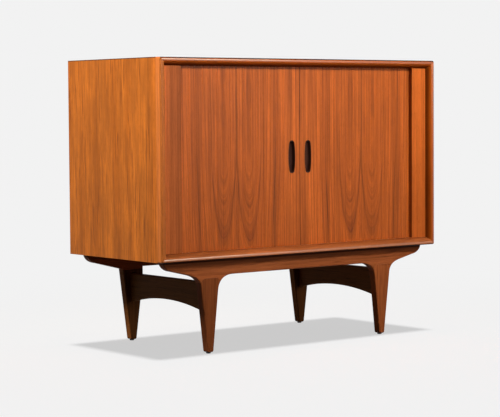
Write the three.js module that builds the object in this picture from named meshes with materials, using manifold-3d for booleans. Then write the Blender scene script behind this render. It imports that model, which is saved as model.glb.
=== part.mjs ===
// A tambour door cabinet: a mitred case with two slatted doors that slide into its sides, on a sled base.
// Millimetres, +Z up. The front faces -Y, and the origin is on the floor under the middle of the case.

import * as THREE from 'three';
import { mergeVertices } from 'three/addons/utils/BufferGeometryUtils.js';
import Module from 'manifold-3d';

const wasm = await Module();
wasm.setup();

// Clearances
const jointGap = 0.25;
const mitreGap = 0.4;
const slideGap = 0.6;
const cutOverrun = 3;

// Case
const caseWidth = 980;
const caseDepth = 440;
const caseHeight = 536;
const sideThickness = 22;
const deckThickness = 22;

// Solid lipping round the front of the case
const lipDepth = 21;
const lipOuterRound = 5;
const lipNoseWidth = 10.5;
const lipNoseDrop = 2.2;
const lipBevelDepth = 15;

// Back panel, set in a rebate
const backThickness = 6;
const backInset = 2;
const rebateWidth = 10;

// Fixed stiles that hide the door pockets
const fixedStileWidth = 54;

// Doors: a rigid meeting stile with a finger pull, then slats on canvas
const doorSetback = 27;
const seamGap = 0.8;
const doorEndGap = 1;
const meetingStileWidth = 58;
const meetingStileThickness = 15;
const slatCount = 16;
const slatThickness = 7;
const slatGap = 0.3;
const slatEase = 0.7;
const slatWeb = 0.6;
const canvasThickness = 0.8;
const canvasMargin = 8;

// Track for the door tongues, routed in the top and the bottom of the case
const tongueThickness = 5;
const tongueHeight = 8;
const slatTongueWidth = 14;
const trackDepth = 9;
const trackSideInset = 10;
const trackRadius = 32;

// Finger pulls
const pullLength = 90;
const pullWidth = 23.5;
const pullEndWidth = 15;
const pullDepth = 12;
const pullWall = 1.2;
const pullFloor = 1.5;
const pullProud = 0.4;
const pullHeight = 267;

// Inside
const linerThickness = 12;
const partitionThickness = 16;
const insideSetback = 2;
const shelfThickness = 16;
const shelfHeight = 252;
const shelfSetback = 40;
const shelfSideGap = 0.8;
const shelfBackGap = 6;

// Shelf pins and their rows of holes
const pinRadius = 2.5;
const pinReach = 7;
const pinSeatDepth = 6.5;
const pinHoleClearance = 0.2;
const pinInset = 40;
const pinHolePitch = 32;
const pinRowCount = 3;

// Base: two sled frames, each a rail with wings on two legs, joined by arched stretchers.
// The insets of the frames go to the middle of their thickness, and the drops go down from the case.
// The front legs flow into their rail round knees, and the rear legs meet theirs in plain corners.
const baseHeight = 254;
const frameThickness = 24;
const frameRound = 3;
const frontFrameInset = 43;
const rearFrameInset = 36;
const railHeight = 44;
const wingInset = 25.5;
const kneeOuterInset = 150;
const kneeOuterDrop = 74;
const kneeWidth = 57;
const kneeInnerDrop = 84;
const kneeFilletWidth = 47;
const kneeJointDrop = 62;
const rearLegOuterInset = 144.5;
const rearLegOuterDrop = 48.5;
const rearLegInnerInset = 213;
const rearLegTaperDrop = 75;
const rearJointDrop = 61;
const footOuterInset = 170.5;
const footWidth = 19;
const footRound = 5;
const stretcherThickness = 20;
const stretcherDrop = 62;
const stretcherHeight = 80;
const stretcherArch = 20;

// Outline of a wing: across from its tip to the knee, and down from the case to the knee
const wingTipShares = [[0, 0], [0.01, 0.17], [0.1, 0.325], [0.26, 0.365]];
const wingKneeShares = [[0.69, 0.534], [0.885, 0.615], [0.985, 0.757], [1, 1]];
// Outline of the fillet inside the knee: across from the leg, and up from the knee to the rail
const kneeFilletShares = [[0, 0], [0.04, 0.45], [0.255, 0.955], [1, 1]];

// Glides under the feet
const glideRadius = 6.5;
const glideHeight = 4;
const glideEase = 1;
const glidePinRadius = 1.2;
const glidePinLength = 12;

// Loose tenons between legs and rails, and tenons on the ends of the stretchers
const tenonThickness = 8;
const legTenonWidth = 26;
const legTenonLength = 32;
const stretcherTenonLength = 11;
const stretcherTenonHeight = 44;
const stretcherTenonDrop = 88;

// Screws
const baseScrewRadius = 2;
const baseScrewHeadRadius = 4.2;
const baseScrewHeadHeight = 3;
const baseScrewRecess = 14;
const baseScrewBite = 15;
const baseScrewLegInset = 110;
const baseScrewsPerRail = 3;
const backScrewRadius = 1.5;
const backScrewHeadRadius = 3.5;
const backScrewBite = 12;
const backScrewsAcross = 3;
const screwClearance = 0.3;

// How finely round stretches are cut
const curveSteps = 6;
const arcSteps = 8;
const roundSides = 8;
const bevelSteps = 2;

// Places that follow from the sizes above
const halfWidth = caseWidth / 2;
const insideHalfWidth = halfWidth - sideThickness;
const insideTop = caseHeight - deckThickness;
const stileEdge = insideHalfWidth - fixedStileWidth;
const backFront = caseDepth - backInset - backThickness;
const insideBack = backFront - jointGap;
const insideFront = doorSetback + meetingStileThickness + insideSetback;
const linerInnerEdge = stileEdge - linerThickness;
const partitionEdge = partitionThickness / 2;
const doorBottom = deckThickness + doorEndGap;
const doorTop = insideTop - doorEndGap;
const trackFront = doorSetback + slatThickness / 2;
const trackWidth = tongueThickness + 2 * slideGap;
const trackSide = insideHalfWidth - trackSideInset;
const trackBend = trackSide - trackRadius;
const curtainStart = meetingStileWidth + slatGap;
const slatPitch = (trackBend - curtainStart) / slatCount;
const pullCentre = meetingStileWidth / 2;
const shelfBack = insideBack - shelfBackGap;
const shelfFront = insideFront + shelfSetback;
const footDrop = baseHeight - glideHeight;
const footCentreInset = footOuterInset + footWidth / 2;
const kneeInnerInset = kneeOuterInset + kneeWidth;
const legCentre = halfWidth - footCentreInset;
const baseScrewPitch = 2 * (legCentre - baseScrewLegInset) / (baseScrewsPerRail - 1);
const stretcherFront = frontFrameInset + frameThickness / 2;
const stretcherBack = caseDepth - rearFrameInset - frameThickness / 2;

// The two sides of the cabinet
const sides = [
  { name: 'left', side: -1 },
  { name: 'right', side: 1 },
];

// The two base frames: the depth of each one's middle, and the turn that sets its inner face
// towards the other one. The turn swaps left and right.
const frames = [
  {
    name: 'front',
    depth: frontFrameInset,
    turn: 0,
    flip: 1,
    outerSide: drawFrontOuterSide,
    innerSide: drawFrontInnerSide,
    jointDrop: kneeJointDrop,
  },
  {
    name: 'rear',
    depth: caseDepth - rearFrameInset,
    turn: Math.PI,
    flip: -1,
    outerSide: drawRearOuterSide,
    innerSide: drawRearInnerSide,
    jointDrop: rearJointDrop,
  },
];

// Materials
function wood(color, roughness) {
  return new THREE.MeshStandardMaterial({ color, roughness, metalness: 0 });
}
function metal(color, roughness) {
  return new THREE.MeshStandardMaterial({ color, roughness, metalness: 1 });
}
const sideColor = 0xc4753a;
const doorColor = 0xb0602f;
const lipColor = 0xa85a30;
const stileColor = 0xc06a38;
const baseColor = 0x7a4222;
const insideColor = 0xc79a6b;
const pullColor = 0x3a1c12;
const canvasColor = 0x9c8a6a;
const glideColor = 0x1a1512;
const brassColor = 0xb8975a;
const steelColor = 0x9a9a98;

// Turns a closed geometry into a solid that can be cut
function toSolid(geometry) {
  const bare = geometry.clone();
  bare.deleteAttribute('normal');
  bare.deleteAttribute('uv');
  const merged = mergeVertices(bare);
  return new wasm.Manifold(new wasm.Mesh({
    numProp: 3,
    vertProperties: Float32Array.from(merged.attributes.position.array),
    triVerts: Uint32Array.from(merged.index.array),
  }));
}

function toGeometry(solid) {
  const mesh = solid.getMesh();
  const geometry = new THREE.BufferGeometry();
  geometry.setAttribute('position', new THREE.BufferAttribute(mesh.vertProperties, mesh.numProp));
  geometry.setIndex(new THREE.BufferAttribute(mesh.triVerts, 1));
  geometry.computeVertexNormals();
  return geometry;
}

function cutAway(geometry, cutters) {
  const cut = cutters.reduce((solid, cutter) => solid.subtract(toSolid(cutter)), toSolid(geometry));
  return toGeometry(cut);
}

function keepInside(geometry, keeper) {
  return toGeometry(toSolid(geometry).intersect(toSolid(keeper)));
}

function joinAll(geometries) {
  const solids = geometries.map(toSolid);
  return toGeometry(solids.reduce((whole, solid) => whole.add(solid)));
}

// A block from its lower and upper limit along each axis
function block(x, y, z) {
  const geometry = new THREE.BoxGeometry(x[1] - x[0], y[1] - y[0], z[1] - z[0]);
  geometry.translate((x[0] + x[1]) / 2, (y[0] + y[1]) / 2, (z[0] + z[1]) / 2);
  return geometry;
}

// Limits on one side of the middle, from the inner and the outer distance
function sideways(side, inner, outer) {
  return side > 0 ? [inner, outer] : [-outer, -inner];
}

const axisX = new THREE.Vector3(1, 0, 0);
const axisY = new THREE.Vector3(0, 1, 0);
const axisZ = new THREE.Vector3(0, 0, 1);
const towardsFront = new THREE.Vector3(0, -1, 0);

// A shape drawn across and up, pushed from one depth to another
function prismAlongY(shape, from, to, bevel = 0) {
  const geometry = new THREE.ExtrudeGeometry(shape, {
    depth: to - from - 2 * bevel,
    curveSegments: arcSteps,
    bevelEnabled: bevel > 0,
    bevelThickness: bevel,
    bevelSize: bevel,
    bevelOffset: -bevel,
    bevelSegments: bevelSteps,
  });
  geometry.applyMatrix4(new THREE.Matrix4().makeBasis(axisX, axisZ, towardsFront));
  geometry.translate(0, to - bevel, 0);
  return geometry;
}

// A shape drawn in depth and up, pushed along the width
function prismAlongX(shape, from, to) {
  const geometry = new THREE.ExtrudeGeometry(shape, {
    depth: to - from,
    curveSegments: arcSteps,
    bevelEnabled: false,
  });
  geometry.applyMatrix4(new THREE.Matrix4().makeBasis(axisY, axisZ, axisX));
  geometry.translate(from, 0, 0);
  return geometry;
}

// A shape drawn in plan, pushed up
function prismAlongZ(shape, from, to) {
  const geometry = new THREE.ExtrudeGeometry(shape, {
    depth: to - from,
    curveSegments: arcSteps,
    bevelEnabled: false,
  });
  geometry.translate(0, 0, from);
  return geometry;
}

// A round bar between two points
function bar(radius, start, end) {
  const from = new THREE.Vector3(...start);
  const along = new THREE.Vector3(...end).sub(from);
  const geometry = new THREE.CylinderGeometry(radius, radius, along.length(), roundSides);
  geometry.applyQuaternion(new THREE.Quaternion().setFromUnitVectors(axisY, along.clone().normalize()));
  geometry.translate(...from.addScaledVector(along, 1 / 2).toArray());
  return geometry;
}

function shapeOf(points) {
  return new THREE.Shape(points.map(([a, b]) => new THREE.Vector2(a, b)));
}

// Places spread evenly about a middle
function spread(count, pitch, middle) {
  return Array.from({ length: count }, (unused, i) => middle + (i - (count - 1) / 2) * pitch);
}

function addMesh(group, name, geometry, material) {
  const mesh = new THREE.Mesh(geometry, material);
  mesh.name = name;
  group.add(mesh);
  return mesh;
}

// A plain board, placed by its middle
function addBoard(group, name, x, y, z, material) {
  const geometry = new THREE.BoxGeometry(x[1] - x[0], y[1] - y[0], z[1] - z[0]);
  const mesh = addMesh(group, name, geometry, material);
  mesh.position.set((x[0] + x[1]) / 2, (y[0] + y[1]) / 2, (z[0] + z[1]) / 2);
}

// Outline of the top or the bottom of the case between its mitres, seen from the front.
// It can run out past its faces along the line of the mitre.
function deckOutline(level, runOut) {
  const slope = sideThickness / deckThickness;
  const outer = halfWidth + runOut * slope - mitreGap;
  const inner = insideHalfWidth - runOut * slope - mitreGap;
  const outerZ = level > 0 ? caseHeight + runOut : -runOut;
  const innerZ = level > 0 ? insideTop - runOut : deckThickness + runOut;
  return shapeOf([[-outer, outerZ], [outer, outerZ], [inner, innerZ], [-inner, innerZ]]);
}

function sideOutline(side, runOut) {
  const slope = deckThickness / sideThickness;
  const outer = side * (halfWidth + runOut);
  const inner = side * (insideHalfWidth - runOut);
  const rise = runOut * slope;
  return shapeOf([
    [outer, -rise],
    [outer, caseHeight + rise],
    [inner, insideTop - rise],
    [inner, deckThickness + rise],
  ]);
}

// The track in plan, one band from the back of one side round the front to the back of the other
function trackShape() {
  const bendDepth = trackFront + trackRadius;
  const outer = trackRadius + trackWidth / 2;
  const inner = trackRadius - trackWidth / 2;
  const open = caseDepth + cutOverrun;
  const shape = new THREE.Shape();
  shape.moveTo(-trackBend - outer, open);
  shape.lineTo(-trackBend - outer, bendDepth);
  shape.absarc(-trackBend, bendDepth, outer, Math.PI, 1.5 * Math.PI, false);
  shape.lineTo(trackBend, bendDepth - outer);
  shape.absarc(trackBend, bendDepth, outer, 1.5 * Math.PI, 2 * Math.PI, false);
  shape.lineTo(trackBend + outer, open);
  shape.lineTo(trackBend + inner, open);
  shape.lineTo(trackBend + inner, bendDepth);
  shape.absarc(trackBend, bendDepth, inner, 2 * Math.PI, 1.5 * Math.PI, true);
  shape.lineTo(-trackBend, bendDepth - inner);
  shape.absarc(-trackBend, bendDepth, inner, 1.5 * Math.PI, Math.PI, true);
  shape.lineTo(-trackBend - inner, open);
  shape.closePath();
  return shape;
}

// The rebate for the back panel, cut round the rear edge of the case
function rebateCutter() {
  const reach = insideHalfWidth + rebateWidth;
  return block(
    [-reach, reach],
    [backFront, caseDepth + cutOverrun],
    [deckThickness - rebateWidth, insideTop + rebateWidth],
  );
}

// Where the back panel is screwed to the top and the bottom of the case, in width and height
function backScrewPlaces() {
  const acrossBack = spread(backScrewsAcross, 2 * insideHalfWidth / backScrewsAcross, 0);
  const heights = [deckThickness - rebateWidth / 2, insideTop + rebateWidth / 2];
  return heights.flatMap((z) => acrossBack.map((x) => [x, z]));
}

function backScrewHoles() {
  const radius = backScrewRadius + screwClearance;
  const end = backFront - backScrewBite - screwClearance;
  return backScrewPlaces().map(([x, z]) => bar(radius, [x, end, z], [x, caseDepth + cutOverrun, z]));
}

// A screw about its own seat: the head stands on +Z, and the shank goes down from it
function screwGeometry(radius, headRadius, headHeight, length) {
  const outline = [
    [0, -length],
    [radius, -length],
    [radius, 0],
    [headRadius, 0],
    [headRadius, headHeight],
    [0, headHeight],
  ];
  const points = outline.map(([r, z]) => new THREE.Vector2(r, z));
  return new THREE.LatheGeometry(points, roundSides).rotateX(Math.PI / 2);
}

// Where the screws go up through the rails, across the rail
function baseScrewOffsets() {
  return spread(baseScrewsPerRail, baseScrewPitch, 0);
}

function baseScrewPlaces() {
  return frames.flatMap(({ depth }) => baseScrewOffsets().map((x) => [x, depth]));
}

function buildCase(group) {
  const panelFront = lipDepth + jointGap;
  const sideWood = wood(sideColor, 0.45);
  const screwHoles = backScrewHoles();
  const track = trackShape();

  const topTrack = prismAlongZ(track, insideTop - cutOverrun, insideTop + trackDepth);
  const top = prismAlongY(deckOutline(1, 0), panelFront, caseDepth);
  addMesh(group, 'case_top', cutAway(top, [topTrack, rebateCutter(), ...screwHoles]), sideWood.clone());

  const pilotRadius = baseScrewRadius + screwClearance;
  const pilots = baseScrewPlaces().map(([x, y]) => (
    bar(pilotRadius, [x, y, -cutOverrun], [x, y, baseScrewBite + screwClearance])
  ));
  const bottomTrack = prismAlongZ(track, deckThickness - trackDepth, deckThickness + cutOverrun);
  const bottom = prismAlongY(deckOutline(-1, 0), panelFront, caseDepth);
  const bottomCuts = [bottomTrack, rebateCutter(), ...screwHoles, ...pilots];
  addMesh(group, 'case_bottom', cutAway(bottom, bottomCuts), sideWood.clone());

  for (const { name, side } of sides) {
    const panel = prismAlongY(sideOutline(side, 0), panelFront, caseDepth);
    const cut = cutAway(panel, [rebateCutter(), ...screwHoles]);
    addMesh(group, `case_side_${name}`, cut, sideWood.clone());
  }

  const backReach = insideHalfWidth + rebateWidth - jointGap;
  const backLow = deckThickness - rebateWidth + jointGap;
  const backHigh = insideTop + rebateWidth - jointGap;
  const backDepths = [backFront + jointGap, caseDepth - backInset];
  const back = block([-backReach, backReach], backDepths, [backLow, backHigh]);
  addMesh(group, 'back_panel', cutAway(back, screwHoles), wood(insideColor, 0.6));

  const seat = caseDepth - backInset + jointGap;
  const headHeight = backInset - jointGap;
  const shank = seat - backFront + backScrewBite;
  const screw = screwGeometry(backScrewRadius, backScrewHeadRadius, headHeight, shank);
  backScrewPlaces().forEach(([x, z], i) => {
    const mesh = addMesh(group, `back_screw_${i + 1}`, screw, metal(steelColor, 0.4));
    mesh.position.set(x, seat, z);
    mesh.rotation.x = -Math.PI / 2;
  });
}

// Section of the lipping: across from its outer face, and in depth from its front
function lipSection(width) {
  const bevelSlope = (width - lipNoseWidth) / (lipBevelDepth - lipNoseDrop);
  const path = new THREE.Path();
  path.moveTo(0, lipDepth);
  path.lineTo(0, lipOuterRound);
  path.quadraticCurveTo(0, 0, lipOuterRound, 0);
  path.quadraticCurveTo(lipNoseWidth - lipNoseDrop * bevelSlope, 0, lipNoseWidth, lipNoseDrop);
  path.lineTo(width, lipBevelDepth);
  path.lineTo(width, lipDepth);
  return path.getPoints(curveSteps).map((point) => point.toArray());
}

function buildLipping(group) {
  const lipWood = wood(lipColor, 0.35);
  const reach = halfWidth + cutOverrun;
  for (const [name, level] of [['bottom', -1], ['top', 1]]) {
    const section = lipSection(deckThickness).map(([across, depth]) => (
      [depth, level > 0 ? caseHeight - across : across]
    ));
    const strip = prismAlongX(shapeOf(section), -reach, reach);
    const keeper = prismAlongY(deckOutline(level, cutOverrun), -cutOverrun, lipDepth + cutOverrun);
    addMesh(group, `front_edge_${name}`, keepInside(strip, keeper), lipWood.clone());
  }
  for (const { name, side } of sides) {
    const section = lipSection(sideThickness).map(([across, depth]) => (
      [side * (halfWidth - across), depth]
    ));
    const strip = prismAlongZ(shapeOf(section), -cutOverrun, caseHeight + cutOverrun);
    const keeper = prismAlongY(sideOutline(side, cutOverrun), -cutOverrun, lipDepth + cutOverrun);
    addMesh(group, `front_edge_${name}`, keepInside(strip, keeper), lipWood.clone());
  }
}

// Heights of the rows of pin holes
function pinHeights() {
  return spread(pinRowCount, pinHolePitch, shelfHeight - pinRadius - jointGap);
}

function pinDepths() {
  return [shelfFront + pinInset, shelfBack - pinInset];
}

// Pin holes from one face of an upright, going in by the seat depth
function pinHoles(face, inward) {
  const holes = [];
  const depth = pinSeatDepth + pinHoleClearance;
  for (const y of pinDepths()) {
    for (const z of pinHeights()) {
      const mouth = [face - inward * cutOverrun, y, z];
      const end = [face + inward * depth, y, z];
      holes.push(bar(pinRadius + pinHoleClearance, mouth, end));
    }
  }
  return holes;
}

// Middles of the four pins under one shelf: the outer and the inner upright, each front and back
function pinPlaces(side) {
  const middle = (pinReach - pinSeatDepth) / 2;
  const z = shelfHeight - pinRadius - jointGap;
  const across = [side * (linerInnerEdge - middle), side * (partitionEdge + middle)];
  return across.flatMap((x) => pinDepths().map((y) => [x, y, z]));
}

function buildInside(group) {
  const insideWood = wood(insideColor, 0.5);
  const low = deckThickness + jointGap;
  const high = insideTop - jointGap;
  const depths = [insideFront, insideBack];

  const partition = block([-partitionEdge, partitionEdge], depths, [low, high]);
  const partitionHoles = [...pinHoles(-partitionEdge, 1), ...pinHoles(partitionEdge, -1)];
  addMesh(group, 'centre_partition', cutAway(partition, partitionHoles), insideWood.clone());

  for (const { name, side } of sides) {
    const stileWidth = sideways(side, stileEdge, insideHalfWidth - jointGap);
    const stileDepth = [lipBevelDepth, doorSetback - slideGap];
    addBoard(group, `fixed_stile_${name}`, stileWidth, stileDepth, [low, high], wood(stileColor, 0.4));

    const liner = block(sideways(side, linerInnerEdge, stileEdge), depths, [low, high]);
    const linerHoles = pinHoles(side * linerInnerEdge, side);
    addMesh(group, `pocket_liner_${name}`, cutAway(liner, linerHoles), insideWood.clone());

    const shelfWidth = sideways(side, partitionEdge + shelfSideGap, linerInnerEdge - shelfSideGap);
    const shelfLevel = [shelfHeight, shelfHeight + shelfThickness];
    addBoard(group, `shelf_${name}`, shelfWidth, [shelfFront, shelfBack], shelfLevel, insideWood.clone());

    const pin = new THREE.CylinderGeometry(pinRadius, pinRadius, pinReach + pinSeatDepth, roundSides);
    pinPlaces(side).forEach((place, i) => {
      const mesh = addMesh(group, `shelf_pin_${name}_${i + 1}`, pin, metal(brassColor, 0.3));
      mesh.position.set(...place);
      mesh.rotation.z = Math.PI / 2;
    });
  }
}

// Outline of a finger pull about its middle, grown or shrunk by a margin all round
function pullOutline(centre, margin) {
  const endRadius = pullEndWidth / 2 + margin;
  const straight = (pullLength - pullEndWidth) / 2;
  const bulge = pullWidth - pullEndWidth / 2 + margin;
  const shape = new THREE.Shape();
  shape.moveTo(centre - endRadius, pullHeight - straight);
  shape.absarc(centre, pullHeight - straight, endRadius, Math.PI, 2 * Math.PI, false);
  shape.quadraticCurveTo(centre + bulge, pullHeight, centre + endRadius, pullHeight + straight);
  shape.absarc(centre, pullHeight + straight, endRadius, 0, Math.PI, false);
  shape.quadraticCurveTo(centre - bulge, pullHeight, centre - endRadius, pullHeight - straight);
  return shape;
}

// Tongues above and below a door piece, which run in the tracks
function tongues(width) {
  const depth = [trackFront - tongueThickness / 2, trackFront + tongueThickness / 2];
  return [
    block(width, depth, [doorBottom - tongueHeight, doorBottom + cutOverrun]),
    block(width, depth, [doorTop - cutOverrun, doorTop + tongueHeight]),
  ];
}

function meetingStile(side) {
  const width = sideways(side, seamGap / 2, meetingStileWidth);
  const depth = [doorSetback, doorSetback + meetingStileThickness];
  const whole = joinAll([block(width, depth, [doorBottom, doorTop]), ...tongues(width)]);
  const pocketEnd = doorSetback + pullDepth + jointGap;
  const outline = pullOutline(side * pullCentre, jointGap);
  return cutAway(whole, [prismAlongY(outline, doorSetback - cutOverrun, pocketEnd)]);
}

function fingerPull(side) {
  const front = doorSetback - pullProud;
  const back = doorSetback + pullDepth;
  const centre = side * pullCentre;
  const cup = prismAlongY(pullOutline(centre, 0), front, back);
  const hollow = prismAlongY(pullOutline(centre, -pullWall), front - cutOverrun, back - pullFloor);
  return cutAway(cup, [hollow]);
}

// The slats of one door in plan, side by side with eased front edges, joined by a thin web at the back
function slatSection(side) {
  const back = doorSetback + slatThickness;
  const points = [[curtainStart, back]];
  for (let number = 0; number < slatCount; number += 1) {
    const inner = curtainStart + number * slatPitch;
    const outer = inner + slatPitch - slatGap;
    points.push(
      [inner, number > 0 ? back - slatWeb : doorSetback + slatEase],
      [inner, doorSetback + slatEase],
      [inner + slatEase, doorSetback],
      [outer - slatEase, doorSetback],
      [outer, doorSetback + slatEase],
      [outer, number < slatCount - 1 ? back - slatWeb : back],
    );
  }
  const distinct = points.filter((point, i) => i === 0 || point.join() !== points[i - 1].join());
  return shapeOf(distinct.map(([across, depth]) => [side * across, depth]));
}

function tambour(side) {
  const sheet = prismAlongZ(slatSection(side), doorBottom, doorTop);
  const middles = spread(slatCount, slatPitch, (curtainStart + trackBend - slatGap) / 2);
  const allTongues = middles.flatMap((middle) => (
    tongues(sideways(side, middle - slatTongueWidth / 2, middle + slatTongueWidth / 2))
  ));
  return joinAll([sheet, ...allTongues]);
}

function buildDoors(group) {
  for (const { name, side } of sides) {
    addMesh(group, `${name}_meeting_stile`, meetingStile(side), wood(doorColor, 0.4));
    addMesh(group, `${name}_finger_pull`, fingerPull(side), wood(pullColor, 0.5));
    addMesh(group, `${name}_tambour`, tambour(side), wood(doorColor, 0.4));

    const canvasFront = doorSetback + slatThickness + jointGap;
    const canvasWidth = sideways(side, curtainStart, trackBend - slatGap);
    const canvasDepth = [canvasFront, canvasFront + canvasThickness];
    const canvasLevel = [doorBottom + canvasMargin, doorTop - canvasMargin];
    const canvas = new THREE.MeshStandardMaterial({ color: canvasColor, roughness: 0.9, metalness: 0 });
    addBoard(group, `${name}_canvas`, canvasWidth, canvasDepth, canvasLevel, canvas);
  }
}

// A point of a wing's outline from its shares
function wingPoint([across, down]) {
  const tip = halfWidth - wingInset;
  const kneeOuter = halfWidth - kneeOuterInset;
  return [tip - across * (tip - kneeOuter), -down * kneeOuterDrop];
}

// A front leg's outer side at the wing, and its inner side up to the rail
function drawFrontOuterSide(path) {
  const [start, ...curve] = wingKneeShares.map(wingPoint);
  path.lineTo(...start);
  path.bezierCurveTo(...curve.flat());
}

function drawFrontInnerSide(path) {
  const kneeInner = halfWidth - kneeInnerInset;
  const [start, ...curve] = kneeFilletShares.map(([across, up]) => (
    [kneeInner - across * kneeFilletWidth, -kneeInnerDrop + up * (kneeInnerDrop - railHeight)]
  ));
  path.lineTo(...start);
  path.bezierCurveTo(...curve.flat());
}

// The same two sides of a rear leg
function drawRearOuterSide(path) {
  path.lineTo(halfWidth - rearLegOuterInset, -rearLegOuterDrop);
}

function drawRearInnerSide(path) {
  const inner = halfWidth - rearLegInnerInset;
  path.lineTo(inner, -rearLegTaperDrop);
  path.lineTo(inner, -railHeight);
}

// One half of a base frame's outline, from the wing's tip round the leg to the rail
function halfFrameOutline(drawOuterSide, drawInnerSide) {
  const footOuter = halfWidth - footOuterInset;
  const footInner = footOuter - footWidth;
  const [tipStart, ...tipCurve] = wingTipShares.map(wingPoint);

  const path = new THREE.Path();
  path.moveTo(tipStart[0], frameRound + cutOverrun);
  path.lineTo(...tipStart);
  path.bezierCurveTo(...tipCurve.flat());
  drawOuterSide(path);
  path.lineTo(footOuter, footRound - footDrop);
  path.absarc(footOuter - footRound, footRound - footDrop, footRound, 0, -Math.PI / 2, true);
  path.absarc(footInner + footRound, footRound - footDrop, footRound, -Math.PI / 2, -Math.PI, true);
  drawInnerSide(path);
  return path.getPoints(curveSteps).map((point) => point.toArray());
}

// A whole frame, rail and legs in one, about the middle of its own thickness
function wholeFrame(outerSide, innerSide) {
  const half = halfFrameOutline(outerSide, innerSide);
  const mirrored = half.map(([x, z]) => [-x, z]).reverse();
  return prismAlongY(shapeOf([...half, ...mirrored]), -frameThickness / 2, frameThickness / 2, frameRound);
}

// The loose tenon of one leg, or with a margin the mortises that hold it
function legTenon(side, jointDrop, margin) {
  const middle = side * legCentre;
  return block(
    [middle - legTenonWidth / 2 - margin, middle + legTenonWidth / 2 + margin],
    [-tenonThickness / 2 - margin, tenonThickness / 2 + margin],
    [-jointDrop - legTenonLength / 2 - margin, -jointDrop + legTenonLength / 2 + margin],
  );
}

// The mortise for a stretcher's tenon, in the inner face of a leg
function stretcherMortise(side) {
  const middle = side * legCentre;
  const half = tenonThickness / 2 + jointGap;
  const face = frameThickness / 2;
  return block(
    [middle - half, middle + half],
    [face - stretcherTenonLength - jointGap, face + cutOverrun],
    [-stretcherTenonDrop - stretcherTenonHeight - jointGap, -stretcherTenonDrop + jointGap],
  );
}

function baseScrewHoles() {
  const shank = baseScrewRadius + screwClearance;
  const head = baseScrewHeadRadius + screwClearance;
  const recessTop = -railHeight + baseScrewRecess;
  return baseScrewOffsets().flatMap((x) => [
    bar(shank, [x, 0, -railHeight], [x, 0, cutOverrun]),
    bar(head, [x, 0, -railHeight - cutOverrun], [x, 0, recessTop]),
  ]);
}

// The cut between rail and leg follows a flat glued joint below the rail
function railGeometry(frame, jointDrop) {
  const reach = halfWidth + cutOverrun;
  const deep = frameThickness + cutOverrun;
  const keeper = block([-reach, reach], [-deep, deep], [jointGap / 2 - jointDrop, -jointGap]);
  const mortises = [-1, 1].map((side) => legTenon(side, jointDrop, jointGap));
  return cutAway(keepInside(frame, keeper), [...mortises, ...baseScrewHoles()]);
}

function legGeometry(frame, jointDrop, side) {
  const deep = frameThickness + cutOverrun;
  const keeper = block(
    sideways(side, 0, halfWidth),
    [-deep, deep],
    [-baseHeight - cutOverrun, -jointDrop - jointGap / 2],
  );
  const x = side * legCentre;
  const pinHoleEnd = glidePinLength + screwClearance - footDrop;
  const pinHole = bar(glidePinRadius + screwClearance, [x, 0, -baseHeight], [x, 0, pinHoleEnd]);
  const mortise = legTenon(side, jointDrop, jointGap);
  return cutAway(keepInside(frame, keeper), [mortise, stretcherMortise(side), pinHole]);
}

// A stretcher with a straight top and an arched lower edge, tenoned into the legs of the two frames
function stretcherGeometry(side) {
  const front = stretcherFront + jointGap;
  const back = stretcherBack - jointGap;
  const low = -stretcherDrop - stretcherHeight;
  const shape = new THREE.Shape();
  shape.moveTo(front, -stretcherDrop);
  shape.lineTo(front, low);
  shape.quadraticCurveTo((front + back) / 2, low + 2 * stretcherArch, back, low);
  shape.lineTo(back, -stretcherDrop);
  shape.closePath();
  const middle = side * legCentre;
  const beam = prismAlongX(shape, middle - stretcherThickness / 2, middle + stretcherThickness / 2);
  const tenonDepths = [
    [stretcherFront - stretcherTenonLength, front + cutOverrun],
    [back - cutOverrun, stretcherBack + stretcherTenonLength],
  ];
  const tenons = tenonDepths.map((depth) => block(
    [middle - tenonThickness / 2, middle + tenonThickness / 2],
    depth,
    [-stretcherTenonDrop - stretcherTenonHeight, -stretcherTenonDrop],
  ));
  return joinAll([beam, ...tenons]);
}

function glideGeometry() {
  const seat = glideHeight - jointGap;
  const outline = [
    [0, 0],
    [glideRadius - glideEase, 0],
    [glideRadius, glideEase],
    [glideRadius, seat],
    [glidePinRadius, seat],
    [glidePinRadius, glideHeight + glidePinLength],
    [0, glideHeight + glidePinLength],
  ];
  const points = outline.map(([r, z]) => new THREE.Vector2(r, z));
  return new THREE.LatheGeometry(points, 2 * roundSides).rotateX(Math.PI / 2);
}

function buildBase(group) {
  const baseWood = wood(baseColor, 0.45);
  const recess = baseScrewRecess - railHeight - jointGap;
  const screwLength = baseScrewBite - recess;
  const screw = screwGeometry(baseScrewRadius, baseScrewHeadRadius, baseScrewHeadHeight, screwLength);

  for (const { name, depth, turn, flip, outerSide, innerSide, jointDrop } of frames) {
    const sled = new THREE.Group();
    sled.position.y = depth;
    sled.rotation.z = turn;
    group.add(sled);
    const frame = wholeFrame(outerSide, innerSide);
    addMesh(sled, `${name}_rail`, railGeometry(frame, jointDrop), baseWood.clone());
    for (const { name: sideName, side } of sides) {
      const leg = `${name}_${sideName}`;
      addMesh(sled, `${leg}_leg`, legGeometry(frame, jointDrop, side * flip), baseWood.clone());
      addMesh(sled, `${leg}_leg_tenon`, legTenon(side * flip, jointDrop, 0), wood(insideColor, 0.7));
      const glide = addMesh(sled, `${leg}_glide`, glideGeometry(), wood(glideColor, 0.6));
      glide.position.set(side * flip * legCentre, 0, -baseHeight);
    }
    baseScrewOffsets().forEach((x, i) => {
      const mesh = addMesh(sled, `${name}_rail_screw_${i + 1}`, screw, metal(steelColor, 0.4));
      mesh.position.set(x, 0, recess);
      mesh.rotation.x = Math.PI;
    });
  }

  for (const { name, side } of sides) {
    addMesh(group, `${name}_stretcher`, stretcherGeometry(side), baseWood.clone());
  }
}

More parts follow.
